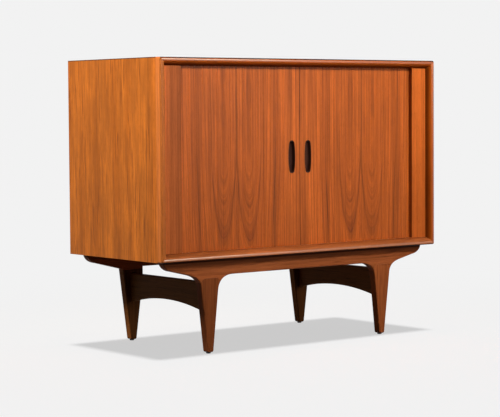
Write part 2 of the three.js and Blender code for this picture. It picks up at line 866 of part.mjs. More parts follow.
const cabinet = new THREE.Group();
cabinet.position.set(0, -caseDepth / 2, baseHeight);
buildCase(cabinet);
buildLipping(cabinet);
buildInside(cabinet);
buildDoors(cabinet);
buildBase(cabinet);

export default cabinet;
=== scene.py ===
"""A tambour door cabinet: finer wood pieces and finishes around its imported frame, in a plain studio.

Metres, +Z up. The front faces -Y, and the origin is on the floor under the middle of the case.
"""
import math
import random

import bmesh
import bpy
from mathutils import Matrix, Vector


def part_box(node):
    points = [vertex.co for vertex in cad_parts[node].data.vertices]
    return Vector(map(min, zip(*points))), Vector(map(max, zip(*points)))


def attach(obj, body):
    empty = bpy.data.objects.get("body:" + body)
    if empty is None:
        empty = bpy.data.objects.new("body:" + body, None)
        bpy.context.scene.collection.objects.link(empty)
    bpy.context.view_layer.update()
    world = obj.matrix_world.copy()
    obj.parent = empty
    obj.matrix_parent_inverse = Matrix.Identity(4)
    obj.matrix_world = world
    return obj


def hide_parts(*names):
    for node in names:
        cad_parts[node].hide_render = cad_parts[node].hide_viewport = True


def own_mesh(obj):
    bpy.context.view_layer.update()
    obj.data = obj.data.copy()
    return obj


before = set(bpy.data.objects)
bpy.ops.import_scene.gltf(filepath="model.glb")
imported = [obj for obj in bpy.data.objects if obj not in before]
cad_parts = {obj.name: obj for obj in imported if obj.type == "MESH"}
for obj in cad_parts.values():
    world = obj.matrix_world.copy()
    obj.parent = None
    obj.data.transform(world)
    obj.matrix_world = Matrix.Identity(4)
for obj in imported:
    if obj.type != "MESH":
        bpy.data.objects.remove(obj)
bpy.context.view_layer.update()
scene = bpy.context.scene

MM = 0.001
ROOT = "cabinet"
SIDES = (("left", -1), ("right", 1))
ENDS = ("front", "rear")
QUARTER = math.pi / 2

# The photograph's camera: place, yaw, pitch and roll in degrees, and focal length in pixels of the picture
CAMERA_PLACE = (-3.1463, -3.9529, 0.6531)
CAMERA_TURNS = (38.298, -3.211, -0.399)
FOCAL_PIXELS = 1772.0
PICTURE_WIDTH = 500
SENSOR_WIDTH = 36.0


def low(node):
    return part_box(node)[0]


def high(node):
    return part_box(node)[1]


def span(node):
    """A node's lower corner, its upper corner and the middle between them."""
    return low(node), high(node), (low(node) + high(node)) / 2


# Sizes read from the frame
CASE_HALF = high("case_side_right").x
CASE_TOP = high("case_top").z
CASE_BOTTOM = low("case_bottom").z
CASE_FRONT = low("front_edge_top").y
LIP_WIDTH = CASE_TOP - low("front_edge_top").z
LIP_BACK = high("front_edge_top").y
DOOR_FRONT = low("right_tambour").y
RAIL_TOP = high("front_rail").z
REAR_LEG_TOP = high("rear_left_leg").z
REAR_LEG_FRONT = low("rear_left_leg").y

# Where the fixed stiles end beside the doors
STILE_END = CASE_HALF - 76 * MM


# Meshes

def new_object(name, data):
    obj = bpy.data.objects.new(name, data)
    scene.collection.objects.link(obj)
    return obj


def to_object(name, bm):
    """An object from a bmesh, with its faces turned out."""
    bmesh.ops.recalc_face_normals(bm, faces=bm.faces)
    mesh = bpy.data.meshes.new(name)
    bm.to_mesh(mesh)
    bm.free()
    return new_object(name, mesh)


def smooth(obj, degrees=35):
    """Smooth shading that keeps edges sharper than the angle, with flat faces kept flat."""
    obj.data.shade_smooth()
    obj.data.set_sharp_from_angle(angle=math.radians(degrees))
    obj.modifiers.new("weighted", "WEIGHTED_NORMAL").keep_sharp = True
    return obj


def loft(bm, rings):
    """A capped skin over rings of points, each a closed loop with as many points as the others."""
    loops = [[bm.verts.new(point) for point in ring] for ring in rings]
    count = len(loops[0])
    for first, second in zip(loops, loops[1:]):
        for i in range(count):
            j = (i + 1) % count
            bm.faces.new((first[i], first[j], second[j], second[i]))
    bm.faces.new(loops[0])
    bm.faces.new(loops[-1])


def lofted(name, rings):
    bm = bmesh.new()
    loft(bm, rings)
    return to_object(name, bm)


def paint(obj, material):
    obj.data.materials.clear()
    obj.data.materials.append(material)


def dress(obj, look, slot, body, *nodes):
    """Gives a piece its material and its body, and hides the nodes it stands for. slot is not used."""
    paint(obj, materials[look])
    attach(obj, body)
    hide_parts(*nodes)


def apply_modifiers(obj):
    graph = bpy.context.evaluated_depsgraph_get()
    mesh = bpy.data.meshes.new_from_object(obj.evaluated_get(graph))
    obj.modifiers.clear()
    obj.data = mesh


def cut(obj, cutter, operation="DIFFERENCE"):
    """Cuts obj by cutter, which is used up."""
    modifier = obj.modifiers.new("cut", "BOOLEAN")
    modifier.object = cutter
    modifier.operation = operation
    modifier.solver = "EXACT"
    apply_modifiers(obj)
    bpy.data.objects.remove(cutter)


def store_vectors(obj, name, vectors):
    """Stores a vector for each point, for a material to read."""
    attribute = obj.data.attributes.new(name, "FLOAT_VECTOR", "POINT")
    attribute.data.foreach_set("vector", [value for vector in vectors for value in vector])


def block(name, lower, upper):
    corners = ((lower[0], lower[1]), (upper[0], lower[1]), (upper[0], upper[1]), (lower[0], upper[1]))
    return lofted(name, [[(x, y, z) for x, y in corners] for z in (lower[2], upper[2])])


def standing(place, direction):
    """The matrix that puts the origin at place and turns +Z along direction."""
    return Matrix.Translation(place) @ Vector(direction).to_track_quat("Z", "Y").to_matrix().to_4x4()


def turned(name, profile, place, direction, steps=32):
    """A turned piece from (radius, height) pairs, standing at place along direction."""
    angles = [math.tau * i / steps for i in range(steps)]
    obj = lofted(name, [
        [(radius * math.cos(angle), radius * math.sin(angle), height) for angle in angles]
        for radius, height in profile
    ])
    obj.data.transform(standing(place, direction))
    return obj


def spaced(start, end, steps):
    """Evenly spaced values, both ends included."""
    return [start + (end - start) * i / steps for i in range(steps + 1)]


def curve(controls, steps):
    """Points on a Bezier curve after its start."""
    degree = len(controls) - 1
    points = []
    for t in spaced(0, 1, steps)[1:]:
        weights = [math.comb(degree, k) * t ** k * (1 - t) ** (degree - k) for k in range(degree + 1)]
        points.append(tuple(sum(w * p[axis] for w, p in zip(weights, controls)) for axis in (0, 1)))
    return points


def arc(centre, radius, start, end, steps):
    """Points on an arc, both ends included, with angles in radians."""
    x, y = centre
    return [(x + radius * math.cos(t), y + radius * math.sin(t)) for t in spaced(start, end, steps)]


def inset(outline, distance):
    """A closed counterclockwise outline moved inwards by a distance."""
    moved = []
    for i, point in enumerate(outline):
        before = (Vector(point) - Vector(outline[i - 1])).normalized()
        after = (Vector(outline[(i + 1) % len(outline)]) - Vector(point)).normalized()
        inward = Vector((-before.y - after.y, before.x + after.x))
        scale = distance * 2 / max(inward.length_squared, 1)
        moved.append((point[0] + inward.x * scale, point[1] + inward.y * scale))
    return moved


def rounded_prism(name, outline, depths, rounding, place, steps=5):
    """A flat outline given a thickness between two depths, with its edges rounded.

    place turns a point of the outline and a depth into a point in space.
    """
    rings = []
    for angle in spaced(0, QUARTER, steps):
        rings.append((rounding * (1 - math.sin(angle)), depths[0] + rounding * (1 - math.cos(angle))))
    rings += [(shrink, depths[0] + depths[1] - depth) for shrink, depth in reversed(rings)]
    return lofted(name, [
        [place(a, b, depth) for a, b in inset(outline, shrink)] for shrink, depth in rings
    ])


# Shader graphs

class Graph:
    """Adds and links the nodes of one material or world. A node stands for its first output."""

    def __init__(self, owner):
        owner.use_nodes = True
        self.tree = owner.node_tree
        self.tree.nodes.clear()

    def add(self, kind, inputs=(), **settings):
        """A node with these settings, and with its inputs put in order or by name."""
        node = self.tree.nodes.new("ShaderNode" + kind)
        for key, value in settings.items():
            setattr(node, key, value)
        for socket, value in inputs.items() if isinstance(inputs, dict) else enumerate(inputs):
            self.put(node, socket, value)
        return node

    def put(self, node, socket, value):
        """Links a socket to value, or sets it."""
        target = node.inputs[socket]
        if isinstance(value, bpy.types.Node):
            value = value.outputs[0]
        if isinstance(value, bpy.types.NodeSocket):
            self.tree.links.new(value, target)
        elif target.type == "RGBA":
            target.default_value = (*value, 1)
        else:
            target.default_value = value

    def math(self, operation, *values, clamp=False):
        return self.add("Math", values, operation=operation, use_clamp=clamp)

    def times(self, first, second, plus=0.0):
        return self.math("MULTIPLY_ADD", first, second, plus)

    def swing(self, noise, size, base=0.0):
        """Base plus how far a noise is from its middle, times size."""
        return self.times(self.math("SUBTRACT", noise, 0.5), size, base)

    def away(self, value, place):
        """How far a value is from a place."""
        return self.math("ABSOLUTE", self.math("SUBTRACT", value, place))

    def combine(self, x, y, z):
        return self.add("CombineXYZ", (x, y, z))

    def split(self, vector):
        return self.add("SeparateXYZ", (vector,)).outputs

    def place(self):
        """Where a point lies on its object."""
        return self.add("TexCoord").outputs["Object"]

    def attribute(self, name):
        return self.add("Attribute", attribute_name=name).outputs["Vector"]

    def noise(self, vector, detail=2.0, rough=0.5):
        """Noise of the vector as it is, so the vector carries the scale."""
        inputs = {"Vector": vector, "Scale": 1.0, "Detail": detail, "Roughness": rough}
        return self.add("TexNoise", inputs).outputs["Fac"]

    def remap(self, value, from_low, from_high, to_low=0.0, to_high=1.0):
        inputs = (value, from_low, from_high, to_low, to_high)
        return self.add("MapRange", inputs, interpolation_type="SMOOTHSTEP")

    def mix(self, factor, first, second, blend="MIX"):
        inputs = {0: factor, 6: first, 7: second}
        return self.add("Mix", inputs, data_type="RGBA", blend_type=blend).outputs[2]

    def dimmed(self, color, value):
        """A colour times a value."""
        return self.mix(1.0, color, self.combine(value, value, value), "MULTIPLY")

    def edge_share(self, radius, flat, sharp):
        """From zero on flat places to one along sharp edges."""
        rounded = self.add("Bevel", {"Radius": radius}, samples=4)
        normal = self.add("NewGeometry").outputs["Normal"]
        facing = self.add("VectorMath", (rounded, normal), operation="DOT_PRODUCT")
        return self.remap(facing.outputs["Value"], flat, sharp)

    def seen(self):
        """One for rays from the camera and for mirrored and transmitted rays, and zero for the rest."""
        path = self.add("LightPath")
        rays = [path.outputs[name] for name in ("Is Camera Ray", "Is Glossy Ray", "Is Transmission Ray")]
        return self.math("ADD", self.math("ADD", rays[0], rays[1]), rays[2], clamp=True)

    def surface(self, inputs, strength, depth, height):
        """Ends a material in a principled surface with a bump of this height."""
        bump = self.add("Bump", {"Strength": strength, "Distance": depth, "Height": height})
        shader = self.add("BsdfPrincipled", {**inputs, "Normal": bump})
        self.add("OutputMaterial", {"Surface": shader})


def srgb(red, green, blue):
    """A linear colour from 0 to 255 display values."""
    return tuple(
        share / 12.92 if share <= 0.04045 else ((share + 0.055) / 1.055) ** 2.4
        for share in (red / 255, green / 255, blue / 255)
    )


def paler(color, gain, lift):
    return tuple(min(1.0, channel * gain + lift) for channel in color)


def new_material(name):
    material = bpy.data.materials.new(name)
    return material, Graph(material)


# Grain directions: which axes run across the face, into it and along the grain
UPRIGHT_FRONT = (0, 1, 2)
UPRIGHT_SIDE = (1, 0, 2)
LEVEL_FRONT = (2, 1, 0)
LEVEL_TOP = (1, 2, 0)
LEVEL_DEEP = (2, 0, 1)

# The dark colour of painted shade, for lines and lipping edges where shade falls
PAINTED_SHADE = srgb(30, 14, 7)
POLISH = srgb(255, 242, 214)

# Slow noises that move the growth rings: scales across, into and along the grain, change of the seed, and
# how far each moves the rings
BEND = ((7.0, 7.0, 2.6), 0.0, 0.05)
RIPPLE = ((40.0, 40.0, 7.0), 0.0, 0.004)
DIP = ((10.0, 10.0, 9.0), 20.0, 0.03)
TILT_EASE = 0.1
PITH_MERGE = 8 * MM

# Noises along the rings, then along the grain: scales, change of the seed, detail and roughness
BROAD = ((38.0, 1.1, 0.0), 3.0)
VEIN = ((125.0, 1.6, 0.0), 0.0, 3.0, 0.62)
THIN = ((260.0, 2.0, 0.0), 5.0, 3.0, 0.65)
STREAK = ((240.0, 40.0, 0.9), 13.0, 3.0, 0.6)
SLOW = ((8.0, 8.0, 3.0), 7.0)
CLOUD = ((42.0, 42.0, 11.0), 9.0, 4.0, 0.6)
FLECK = ((150.0, 150.0, 9.0), 11.0)
FIBRE = ((1500.0, 1500.0, 32.0),)
PORE = ((1100.0, 1100.0, 60.0), 0.0, 1.0)

# Where in its noise an effect starts and ends, and for some what it is there
WIDE_RANGE = (0.25, 0.75)
MIDDLE_RANGE = (0.3, 0.7)
VEIN_RANGE = (0.5, 0.28)
FADE_RANGE = (0.35, 0.65)
FLECK_RANGE = (0.55, 0.7)
FLECK_CLOUDS = (0.3, 0.6)
THIN_RANGE = (0.32, 0.68)
STREAK_RANGE = (0.3, 0.6)
PORE_RANGE = (0.6, 0.7)
WORN_RANGE = (*FADE_RANGE, 0.1, 0.4)
# How far from a pith the veins fade, and what is left of them there
HEART_CALM = (12 * MM, 36 * MM, 0.25, 1.0)
# A worn edge: radius, the cosines of its turn where wear starts and is full, and its colour's gain and lift
WORN_EDGE = (1.6 * MM, 0.995, 0.93)
WORN_PALER = (1.2, 0.01)

# How far veins, streaks, fibres, pores, wear and coat go
VEINS_LEAST = 0.5
VEINS_MOST = 1.3
STREAK_DOWN = 1.3
STREAK_UP = 0.5
FIBRE_SWING = 0.08
FIBRE_ROUGH = 0.18
FIBRE_HEIGHT = 0.35
PORE_SHARE = 0.3
PORE_ROUGH = 0.2
PORE_HEIGHT = -0.6
WORN_ROUGH = -0.12
COAT_SHARE = 0.6
COAT_ROUGH = 0.35

# Where a lipping's gloss and painted shade change, in from its outer face: the outer edge painted dark
# as shade, which also ends at a depth, the glossy nose and the groove painted dim as shade
EDGE_REACH = (3.4 * MM, 1.8 * MM)
EDGE_DEPTH = (6 * MM, 4 * MM)
NOSE_START = (3.0 * MM, 5.0 * MM)
NOSE_END = (10.5 * MM, 8.5 * MM)
GROOVE_START = (11 * MM, 20 * MM)


def grain_noise(graph, coordinates, seed, scales, extra=0.0, detail=2.0, rough=0.5):
    """Noise of the three coordinates, each with its own scale."""
    start = seed + extra
    scaled = [graph.times(each, scale, start) for each, scale in zip(coordinates, scales)]
    return graph.noise(graph.combine(*scaled), detail, rough)


def ring_distance(graph, coordinates, piths, tilt, tilt_level, wander, seed):
    """Distance from the nearest pith, in metres, with a slow wander of the grain.

    A pith is a place across and its depth behind the coordinates' zero. Below tilt_level it goes deeper by
    tilt, which closes its rings into arches there.
    """
    def sway(base, scales, extra, size):
        return graph.swing(grain_noise(graph, coordinates, seed, scales, extra), size * wander, base)

    across, deep, along = coordinates
    shifted = sway(sway(across, *BEND), *RIPPLE)
    below = graph.math("SMOOTH_MAX", graph.math("SUBTRACT", tilt_level, along), 0.0, TILT_EASE)
    fall = graph.times(below, tilt, sway(0.0, *DIP))
    distance = None
    for place, depth in piths:
        sideways = graph.math("SUBTRACT", shifted, place)
        behind = graph.math("ADD", graph.math("ADD", deep, depth), fall)
        square = graph.times(sideways, sideways, graph.times(behind, behind))
        ring = graph.math("SQRT", square)
        distance = ring if distance is None else graph.math("SMOOTH_MIN", distance, ring, PITH_MERGE)
    return distance


def lipping_gloss_and_shade(graph, color, specular, nose, edge, groove):
    """The colour with painted shade on its outer edge and in its groove, and a specular level rising on the
    nose.
    """
    section = graph.split(graph.attribute("section"))
    inward, depth = section[0], section[1]
    shaded_edge = graph.remap(depth, *EDGE_DEPTH, 0, edge)
    shaded_edge = graph.times(graph.remap(inward, *EDGE_REACH), shaded_edge)
    glossy = graph.times(graph.remap(inward, *NOSE_START), graph.remap(inward, *NOSE_END))
    color = graph.dimmed(color, graph.remap(inward, *GROOVE_START, 1.0, groove))
    return graph.mix(shaded_edge, color, PAINTED_SHADE), graph.times(glossy, nose - specular, specular)


def wood(name, colors, axes=UPRIGHT_FRONT, piths=((0.9, 0.5),), tilt=0.0, tilt_level=0.0, seed=0.0,
         veins=0.3, lines=0.1, flecks=0.0, tone=0.08, mottle=0.05, wander=0.3, rough=0.42, specular=0.1,
         bands=(), rings=(), shade_lines=(), from_rest=False, gloss_and_shade=None):
    """Wood with growth rings round its piths, tone, mottling, flecks, fibres, pores and paler worn edges.

    veins and flecks say how much of the dark colour the rings and the short streaks take, and lines, tone
    and mottle how much the brightness swings. A band is a place across, its half width and its change of
    brightness, and a ring has its distance from the pith instead. A shade line is painted shade: an axis, a
    place along it, the half width of a dark line there and how dark it is. from_rest takes the grain from
    the places at rest. For a lipping, the last argument holds its nose's specular, how dark the painted
    shade on its outer edge is, and the brightness left in its groove, which is painted shade there.
    """
    material, graph = new_material(name)
    dark, middle, light = (srgb(*color) for color in WOODS[colors])
    place = graph.split(graph.attribute("rest") if from_rest else graph.place())
    coordinates = [place[axis] for axis in axes]
    across, _, along = coordinates

    distance = ring_distance(graph, coordinates, piths, tilt, tilt_level, wander, seed)
    ringed = (distance, along, distance)
    broad, vein, thin = (grain_noise(graph, ringed, seed, *noise) for noise in (BROAD, VEIN, THIN))
    streak, slow, cloud, fleck = (
        grain_noise(graph, coordinates, seed, *noise) for noise in (STREAK, SLOW, CLOUD, FLECK)
    )
    fibre, pore = (grain_noise(graph, coordinates, 0.0, *noise) for noise in (FIBRE, PORE))

    color = graph.mix(graph.remap(broad, *MIDDLE_RANGE), middle, light)
    fading = graph.remap(slow, *FADE_RANGE, VEINS_LEAST * veins, VEINS_MOST * veins)
    fading = graph.times(fading, graph.remap(distance, *HEART_CALM))
    color = graph.mix(graph.times(graph.remap(vein, *VEIN_RANGE), fading), color, dark)
    if flecks:
        clouded = graph.remap(cloud, *FLECK_CLOUDS, 0, flecks)
        color = graph.mix(graph.times(graph.remap(fleck, *FLECK_RANGE), clouded), color, dark)
    for noise, limits, down, up in (
        (thin, THIN_RANGE, lines, lines),
        (streak, STREAK_RANGE, STREAK_DOWN * lines, STREAK_UP * lines),
        (slow, WIDE_RANGE, tone, tone),
        (cloud, MIDDLE_RANGE, mottle, mottle),
        (fibre, WIDE_RANGE, FIBRE_SWING, FIBRE_SWING),
    ):
        color = graph.dimmed(color, graph.remap(noise, *limits, 1 - down, 1 + up))
    for stripes, where, noise in ((rings, distance, cloud), (bands, across, vein)):
        for line, width, change in stripes:
            ragged = graph.swing(noise, width, graph.away(where, line))
            color = graph.dimmed(color, graph.remap(ragged, width, 0.0, 1.0, 1 + change))
    pores = graph.remap(pore, *PORE_RANGE)
    color = graph.mix(graph.times(pores, PORE_SHARE), color, dark)

    worn = graph.times(graph.edge_share(*WORN_EDGE), graph.remap(slow, *WORN_RANGE))
    color = graph.mix(worn, color, paler(light, *WORN_PALER))
    # Painted shade: dark lines across a piece where shade falls on it
    for axis, line, width, share in shade_lines:
        away = graph.away(coordinates[axis], line)
        color = graph.mix(graph.remap(away, width, width / 2, 0.0, share), color, PAINTED_SHADE)

    inputs = {}
    # A lipping's painted shade on its outer edge and in its groove, and the gloss of its nose
    if gloss_and_shade:
        color, specular = lipping_gloss_and_shade(graph, color, specular, *gloss_and_shade)
        coat = graph.times(specular, COAT_SHARE)
        inputs = {"Specular Tint": POLISH, "Coat Weight": coat, "Coat Roughness": COAT_ROUGH}
    roughness = graph.times(pores, PORE_ROUGH, graph.swing(fibre, FIBRE_ROUGH, rough))
    roughness = graph.times(worn, WORN_ROUGH, roughness)
    inputs |= {"Base Color": color, "Roughness": roughness, "Specular IOR Level": specular}
    height = graph.times(pores, PORE_HEIGHT, graph.times(fibre, FIBRE_HEIGHT))
    graph.surface(inputs, strength=0.35, depth=0.12 * MM, height=height)
    return material


THREAD = 0.9 * MM
CLOTH_PATCHES = 30.0


def weave(name, color, shade):
    """Plain woven cotton."""
    material, graph = new_material(name)
    place = graph.split(graph.place())
    turns = [graph.times(place[axis], math.tau / THREAD) for axis in (0, 2)]
    waves = [graph.math("SINE", turn) for turn in turns]
    height = graph.times(graph.times(*waves), 0.5, 0.5)
    across, up = (graph.times(place[axis], CLOTH_PATCHES) for axis in (0, 2))
    patchy = graph.noise(graph.combine(across, 0.0, up), detail=3.0)
    fabric = graph.mix(graph.times(height, 0.6), shade, color)
    fabric = graph.mix(graph.remap(patchy, 0.3, 0.7, to_high=0.3), fabric, shade)
    graph.surface({"Base Color": fabric, "Roughness": 0.9}, strength=0.6, depth=0.2 * MM, height=height)
    return material


def speckled(name, color, shade, scale, rough, metallic=0.0, worn=0.0):
    """Metal or plastic with fine mottling, an uneven gloss and paler edges."""
    material, graph = new_material(name)
    scaled = graph.add("VectorMath", {0: graph.place(), "Scale": scale}, operation="SCALE")
    mottle = graph.noise(scaled, detail=4.0, rough=0.6)
    tint = graph.mix(graph.remap(mottle, 0.35, 0.65), color, shade)
    if worn:
        edge = graph.times(graph.edge_share(0.6 * MM, flat=0.99, sharp=0.9), worn)
        tint = graph.mix(edge, tint, paler(color, gain=1.8, lift=0.05))
    gloss = graph.remap(mottle, 0.3, 0.7, rough - 0.08, rough + 0.08)
    inputs = {"Base Color": tint, "Metallic": metallic, "Roughness": gloss}
    graph.surface(inputs, strength=0.2, depth=0.05 * MM, height=mottle)
    return material


# Dark, middle and light display values of each wood
WOODS = {
    "door": ((96, 38, 9), (180, 86, 25), (197, 96, 31)),
    "side": ((118, 58, 12), (184, 97, 25), (200, 109, 33)),
    # The four lippings are one wood in lit and shaded copies, painted light and shade: the left one paler
    # where it faces the left lamp, the top and right ones darker where shade falls on them
    "lip_top": ((90, 34, 4), (160, 68, 10), (176, 80, 16)),
    "lip_left": ((114, 58, 20), (182, 98, 42), (194, 110, 52)),
    "lip_bottom": ((104, 48, 20), (174, 89, 42), (190, 103, 52)),
    "lip_right": ((90, 36, 5), (172, 76, 16), (188, 88, 22)),
    "stile_left": ((96, 38, 12), (164, 81, 31), (176, 89, 37)),
    "stile_right": ((116, 46, 13), (197, 93, 28), (209, 103, 35)),
    "base": ((70, 30, 12), (156, 80, 39), (174, 92, 47)),
    "rail": ((76, 34, 14), (156, 82, 42), (176, 96, 52)),
    # The stretchers' copy of the base wood is darker, painted shade for their place in the case's shade
    "stretcher": ((56, 32, 14), (126, 80, 40), (142, 90, 48)),
    "rear_leg": ((70, 36, 14), (158, 92, 40), (176, 106, 50)),
    "dark_leg": ((50, 20, 9), (128, 66, 32), (148, 78, 40)),
    "inside": ((140, 96, 54), (196, 150, 100), (208, 166, 116)),
    "pull": ((20, 9, 6), (52, 27, 17), (68, 37, 24)),
}

# The veneer of both doors: four hearts, upright stripes by their place, and rings by their distance from a
# pith. The stripes and rings also have a half width and a change of brightness.
DOOR_PITHS = ((-0.265, 0.211), (-0.179, 0.211), (0.185, 0.211), (0.27, 0.211))
DOOR_BANDS = (
    (-0.432, 0.022, -0.1), (-0.385, 0.022, 0.15), (-0.347, 0.008, -0.22), (-0.221, 0.008, -0.18),
    (-0.124, 0.006, -0.14), (-0.092, 0.01, -0.24), (-0.06, 0.016, 0.13), (-0.034, 0.01, -0.12),
    (0.014, 0.02, -0.16), (0.068, 0.018, 0.13), (0.103, 0.009, -0.18), (0.138, 0.01, -0.08),
    (0.228, 0.007, -0.08), (0.35, 0.01, -0.12), (0.368, 0.006, -0.14), (0.394, 0.02, 0.11),
)
DOOR_RINGS = (
    (0.0232, 0.0014, -0.12), (0.0315, 0.0014, -0.18), (0.0354, 0.0012, -0.12), (0.0395, 0.0014, -0.16),
    (0.045, 0.0024, -0.32), (0.053, 0.002, -0.14),
)
# The doors' dark line is painted shade along the seam where the two doors meet
DOOR_LOOK = dict(
    piths=DOOR_PITHS, tilt=0.13, tilt_level=0.5, seed=4.6, veins=0.65, lines=0.19, mottle=0.07,
    specular=0.15, bands=DOOR_BANDS, rings=DOOR_RINGS, shade_lines=((0, 0.0, 1.3 * MM, 0.85),),
)
# The side is painted lighter towards its front edge, as painted light, and a dark line is painted along its
# top edge
SIDE_LOOK = dict(
    piths=((0.7, 0.9),), seed=2.0, veins=0.12, flecks=0.75, tone=0.1, mottle=0.15, wander=0.8,
    specular=0.12, bands=((CASE_FRONT + LIP_WIDTH, 0.03, 0.28),), shade_lines=((2, CASE_TOP, 3 * MM, 0.85),),
)
TOP_LOOK = dict(
    piths=((0.6, 0.5),), seed=6.0, veins=0.35, lines=0.12, flecks=0.15, mottle=0.06, wander=0.4,
)
INSIDE_LOOK = dict(veins=0.2, flecks=0.2, specular=0.25)
BASE_LOOK = dict(piths=((0.1, 0.5),), veins=0.4, lines=0.13, flecks=0.5, rough=0.45, specular=0.03)
# Painted shade on the rail: darker towards its top, under the case's overhang
RAIL_SHADE_LINES = ((0, RAIL_TOP, 20 * MM, 0.35), (0, RAIL_TOP, 9 * MM, 0.72))
# Painted shade on the rear legs: their front faces darker, and darker towards their tops under the case
REAR_LEG_SHADE_LINES = ((1, REAR_LEG_FRONT, 4 * MM, 0.62), (2, REAR_LEG_TOP, 0.1, 0.3))
LIP_LOOK = dict(flecks=0.3, rough=0.21, specular=0.02)
LEVEL_LIP = dict(axes=LEVEL_FRONT, piths=((0.5, 0.6),), **LIP_LOOK)
UPRIGHT_LIP = dict(piths=((0.1, 0.5),), **LIP_LOOK)
# Painted light: the left lipping's outer side face is lighter, where it faces the left lamp
LEFT_LIP_BANDS = ((-CASE_HALF, 4 * MM, 0.48),)
# Painted light and shade on the left stile: lighter by the lipping, and darker along its end by the door,
# where its shadow falls
LEFT_STILE_BANDS = ((LIP_WIDTH - CASE_HALF, 0.028, 0.42), (-STILE_END, 0.01, -0.14))
STILE_PITHS = ((0.1, 0.6),)
BACK_LOOK = dict(piths=((0.2, -0.16), (-0.3, -0.16)), tilt=0.1, tilt_level=0.5, seed=13.0, **INSIDE_LOOK)

materials = {
    "case_side": wood("side_veneer", "side", UPRIGHT_SIDE, **SIDE_LOOK),
    "case_level": wood("top_veneer", "side", LEVEL_TOP, **TOP_LOOK),
    "door": wood("door_veneer", "door", **DOOR_LOOK),
    "slats": wood("slat_veneer", "door", from_rest=True, **DOOR_LOOK),
    "lip_top": wood("lipping_top", "lip_top", seed=1.0, gloss_and_shade=(1.0, 1.0, 0.36), **LEVEL_LIP),
    "lip_bottom": wood(
        "lipping_bottom", "lip_bottom", seed=1.5, gloss_and_shade=(0.9, 1.0, 0.76), **LEVEL_LIP,
    ),
    "lip_left": wood(
        "lipping_left", "lip_left", seed=8.0, bands=LEFT_LIP_BANDS, gloss_and_shade=(0.08, 0.35, 0.7),
        **UPRIGHT_LIP,
    ),
    "lip_right": wood("lipping_right", "lip_right", seed=8.5, gloss_and_shade=(0.4, 0.8, 0.3), **UPRIGHT_LIP),
    "stile_left": wood(
        "stile_left", "stile_left", piths=STILE_PITHS, seed=5.0, lines=0.13, bands=LEFT_STILE_BANDS,
    ),
    # The right stile's dark line is painted shade on its end face beside the door
    "stile_right": wood(
        "stile_right", "stile_right", piths=STILE_PITHS, seed=5.5, shade_lines=((0, STILE_END, 0.5 * MM, 0.6),),
    ),
    "rail": wood("rail_wood", "rail", LEVEL_FRONT, seed=3.0, shade_lines=RAIL_SHADE_LINES, **BASE_LOOK),
    "leg": wood("leg_wood", "base", seed=9.0, **BASE_LOOK),
    "rear_leg": wood("rear_leg_wood", "rear_leg", seed=9.0, shade_lines=REAR_LEG_SHADE_LINES, **BASE_LOOK),
    "dark_leg": wood("dark_leg_wood", "dark_leg", seed=9.5, **BASE_LOOK),
    "stretcher": wood("stretcher_wood", "stretcher", LEVEL_DEEP, seed=7.0, **BASE_LOOK),
    "inside_upright": wood(
        "inside_upright", "inside", UPRIGHT_SIDE, piths=((0.6, 0.9),), seed=11.0, **INSIDE_LOOK,
    ),
    "inside_level": wood(
        "inside_level", "inside", LEVEL_TOP, piths=((0.6, 0.6),), seed=12.0, **INSIDE_LOOK,
    ),
    "back": wood("back_veneer", "inside", **BACK_LOOK),
    "tenon": wood("tenon_wood", "inside", seed=14.0),
    "pull": wood("pull_wood", "pull", seed=15.0, rough=0.4, specular=0.08),
    "canvas": weave("canvas_weave", srgb(176, 158, 126), srgb(120, 104, 78)),
    "glide": speckled("glide_plastic", srgb(30, 24, 20), srgb(16, 13, 11), 900.0, 0.5),
    "brass": speckled("pin_brass", srgb(196, 164, 100), srgb(160, 128, 72), 700.0, 0.3, 1.0, 0.3),
    "steel": speckled("screw_steel", srgb(176, 174, 168), srgb(126, 124, 120), 900.0, 0.38, 1.0, 0.4),
}


# Case: the frame's own boards, with their edges eased

WELD_REACH = 0.01 * MM
EASED_ANGLE = math.radians(40)

# Looks of the boards, the width of their eased edges in millimetres, and the boards
BOARDS = (
    ("case_level", 0.6, ("case_top", "case_bottom")),
    ("case_side", 0.6, ("case_side_left", "case_side_right")),
    ("stile_left", 0.8, ("fixed_stile_left",)),
    ("stile_right", 0.8, ("fixed_stile_right",)),
    ("door", 0.4, ("left_meeting_stile", "right_meeting_stile")),
    ("inside_upright", 0.8, ("centre_partition", "pocket_liner_left", "pocket_liner_right")),
    ("inside_level", 1.0, ("shelf_left", "shelf_right")),
    ("back", 0.4, ("back_panel",)),
    ("tenon", 0.6, [f"{end}_{name}_leg_tenon" for end in ENDS for name, _ in SIDES]),
)


def ease_edges(node, look, width):
    """Gives a CAD board its material and a small round on its edges."""
    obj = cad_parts[node]
    paint(obj, materials[look])
    obj.modifiers.new("weld", "WELD").merge_threshold = WELD_REACH
    bevel = obj.modifiers.new("eased", "BEVEL")
    bevel.width = width
    bevel.segments = 2
    bevel.limit_method = "ANGLE"
    bevel.angle_limit = EASED_ANGLE


def dress_boards():
    for look, width, nodes in BOARDS:
        for node in nodes:
            ease_edges(node, look, width * MM)


# Lipping: four mitred lengths with a round nose and a bevel that falls to the doors

LIP_ROUND = 5 * MM
LIP_NOSE = 10 * MM
LIP_DROP = 0.7 * MM
LIP_BEND = (16.8 * MM, 3.2 * MM)
LIP_BEVEL_DEPTH = 15 * MM
MITRE_GAP = 0.1 * MM
CORNER_ROUND = 4.5 * MM
LIP_END = LIP_WIDTH * 1.5
LIP_STEPS = 10
CORNER_STEPS = 6


